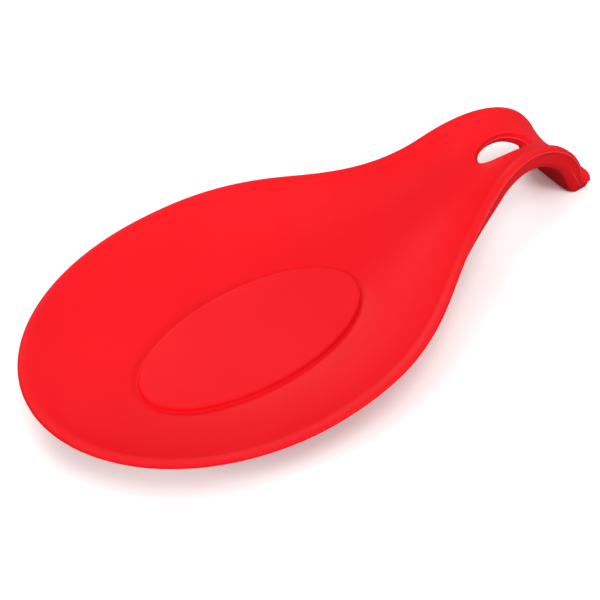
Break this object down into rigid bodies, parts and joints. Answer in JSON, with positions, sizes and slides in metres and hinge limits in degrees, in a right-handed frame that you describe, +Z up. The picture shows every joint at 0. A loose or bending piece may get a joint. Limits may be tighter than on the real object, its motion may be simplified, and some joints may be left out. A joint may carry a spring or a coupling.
{
  "type": "spoon rest",
  "caption": "Shallow teardrop silicone spoon rest with a raised oval pad, drawn out into a channelled handle that arches over to a foot and has a hanging hole.",
  "frame": {"origin": "middle of the flat base under the bowl, on the table", "axes": "+X along the rest towards the tip of the handle, +Y to its left, +Z up out of the bowl"},
  "size_m": [0.1974, 0.0992, 0.029],
  "materials": {
    "silicone": "satin red silicone"
  },
  "bodies": {
    "root": {"spoon_rest": "silicone"}
  },
  "joints": []
}
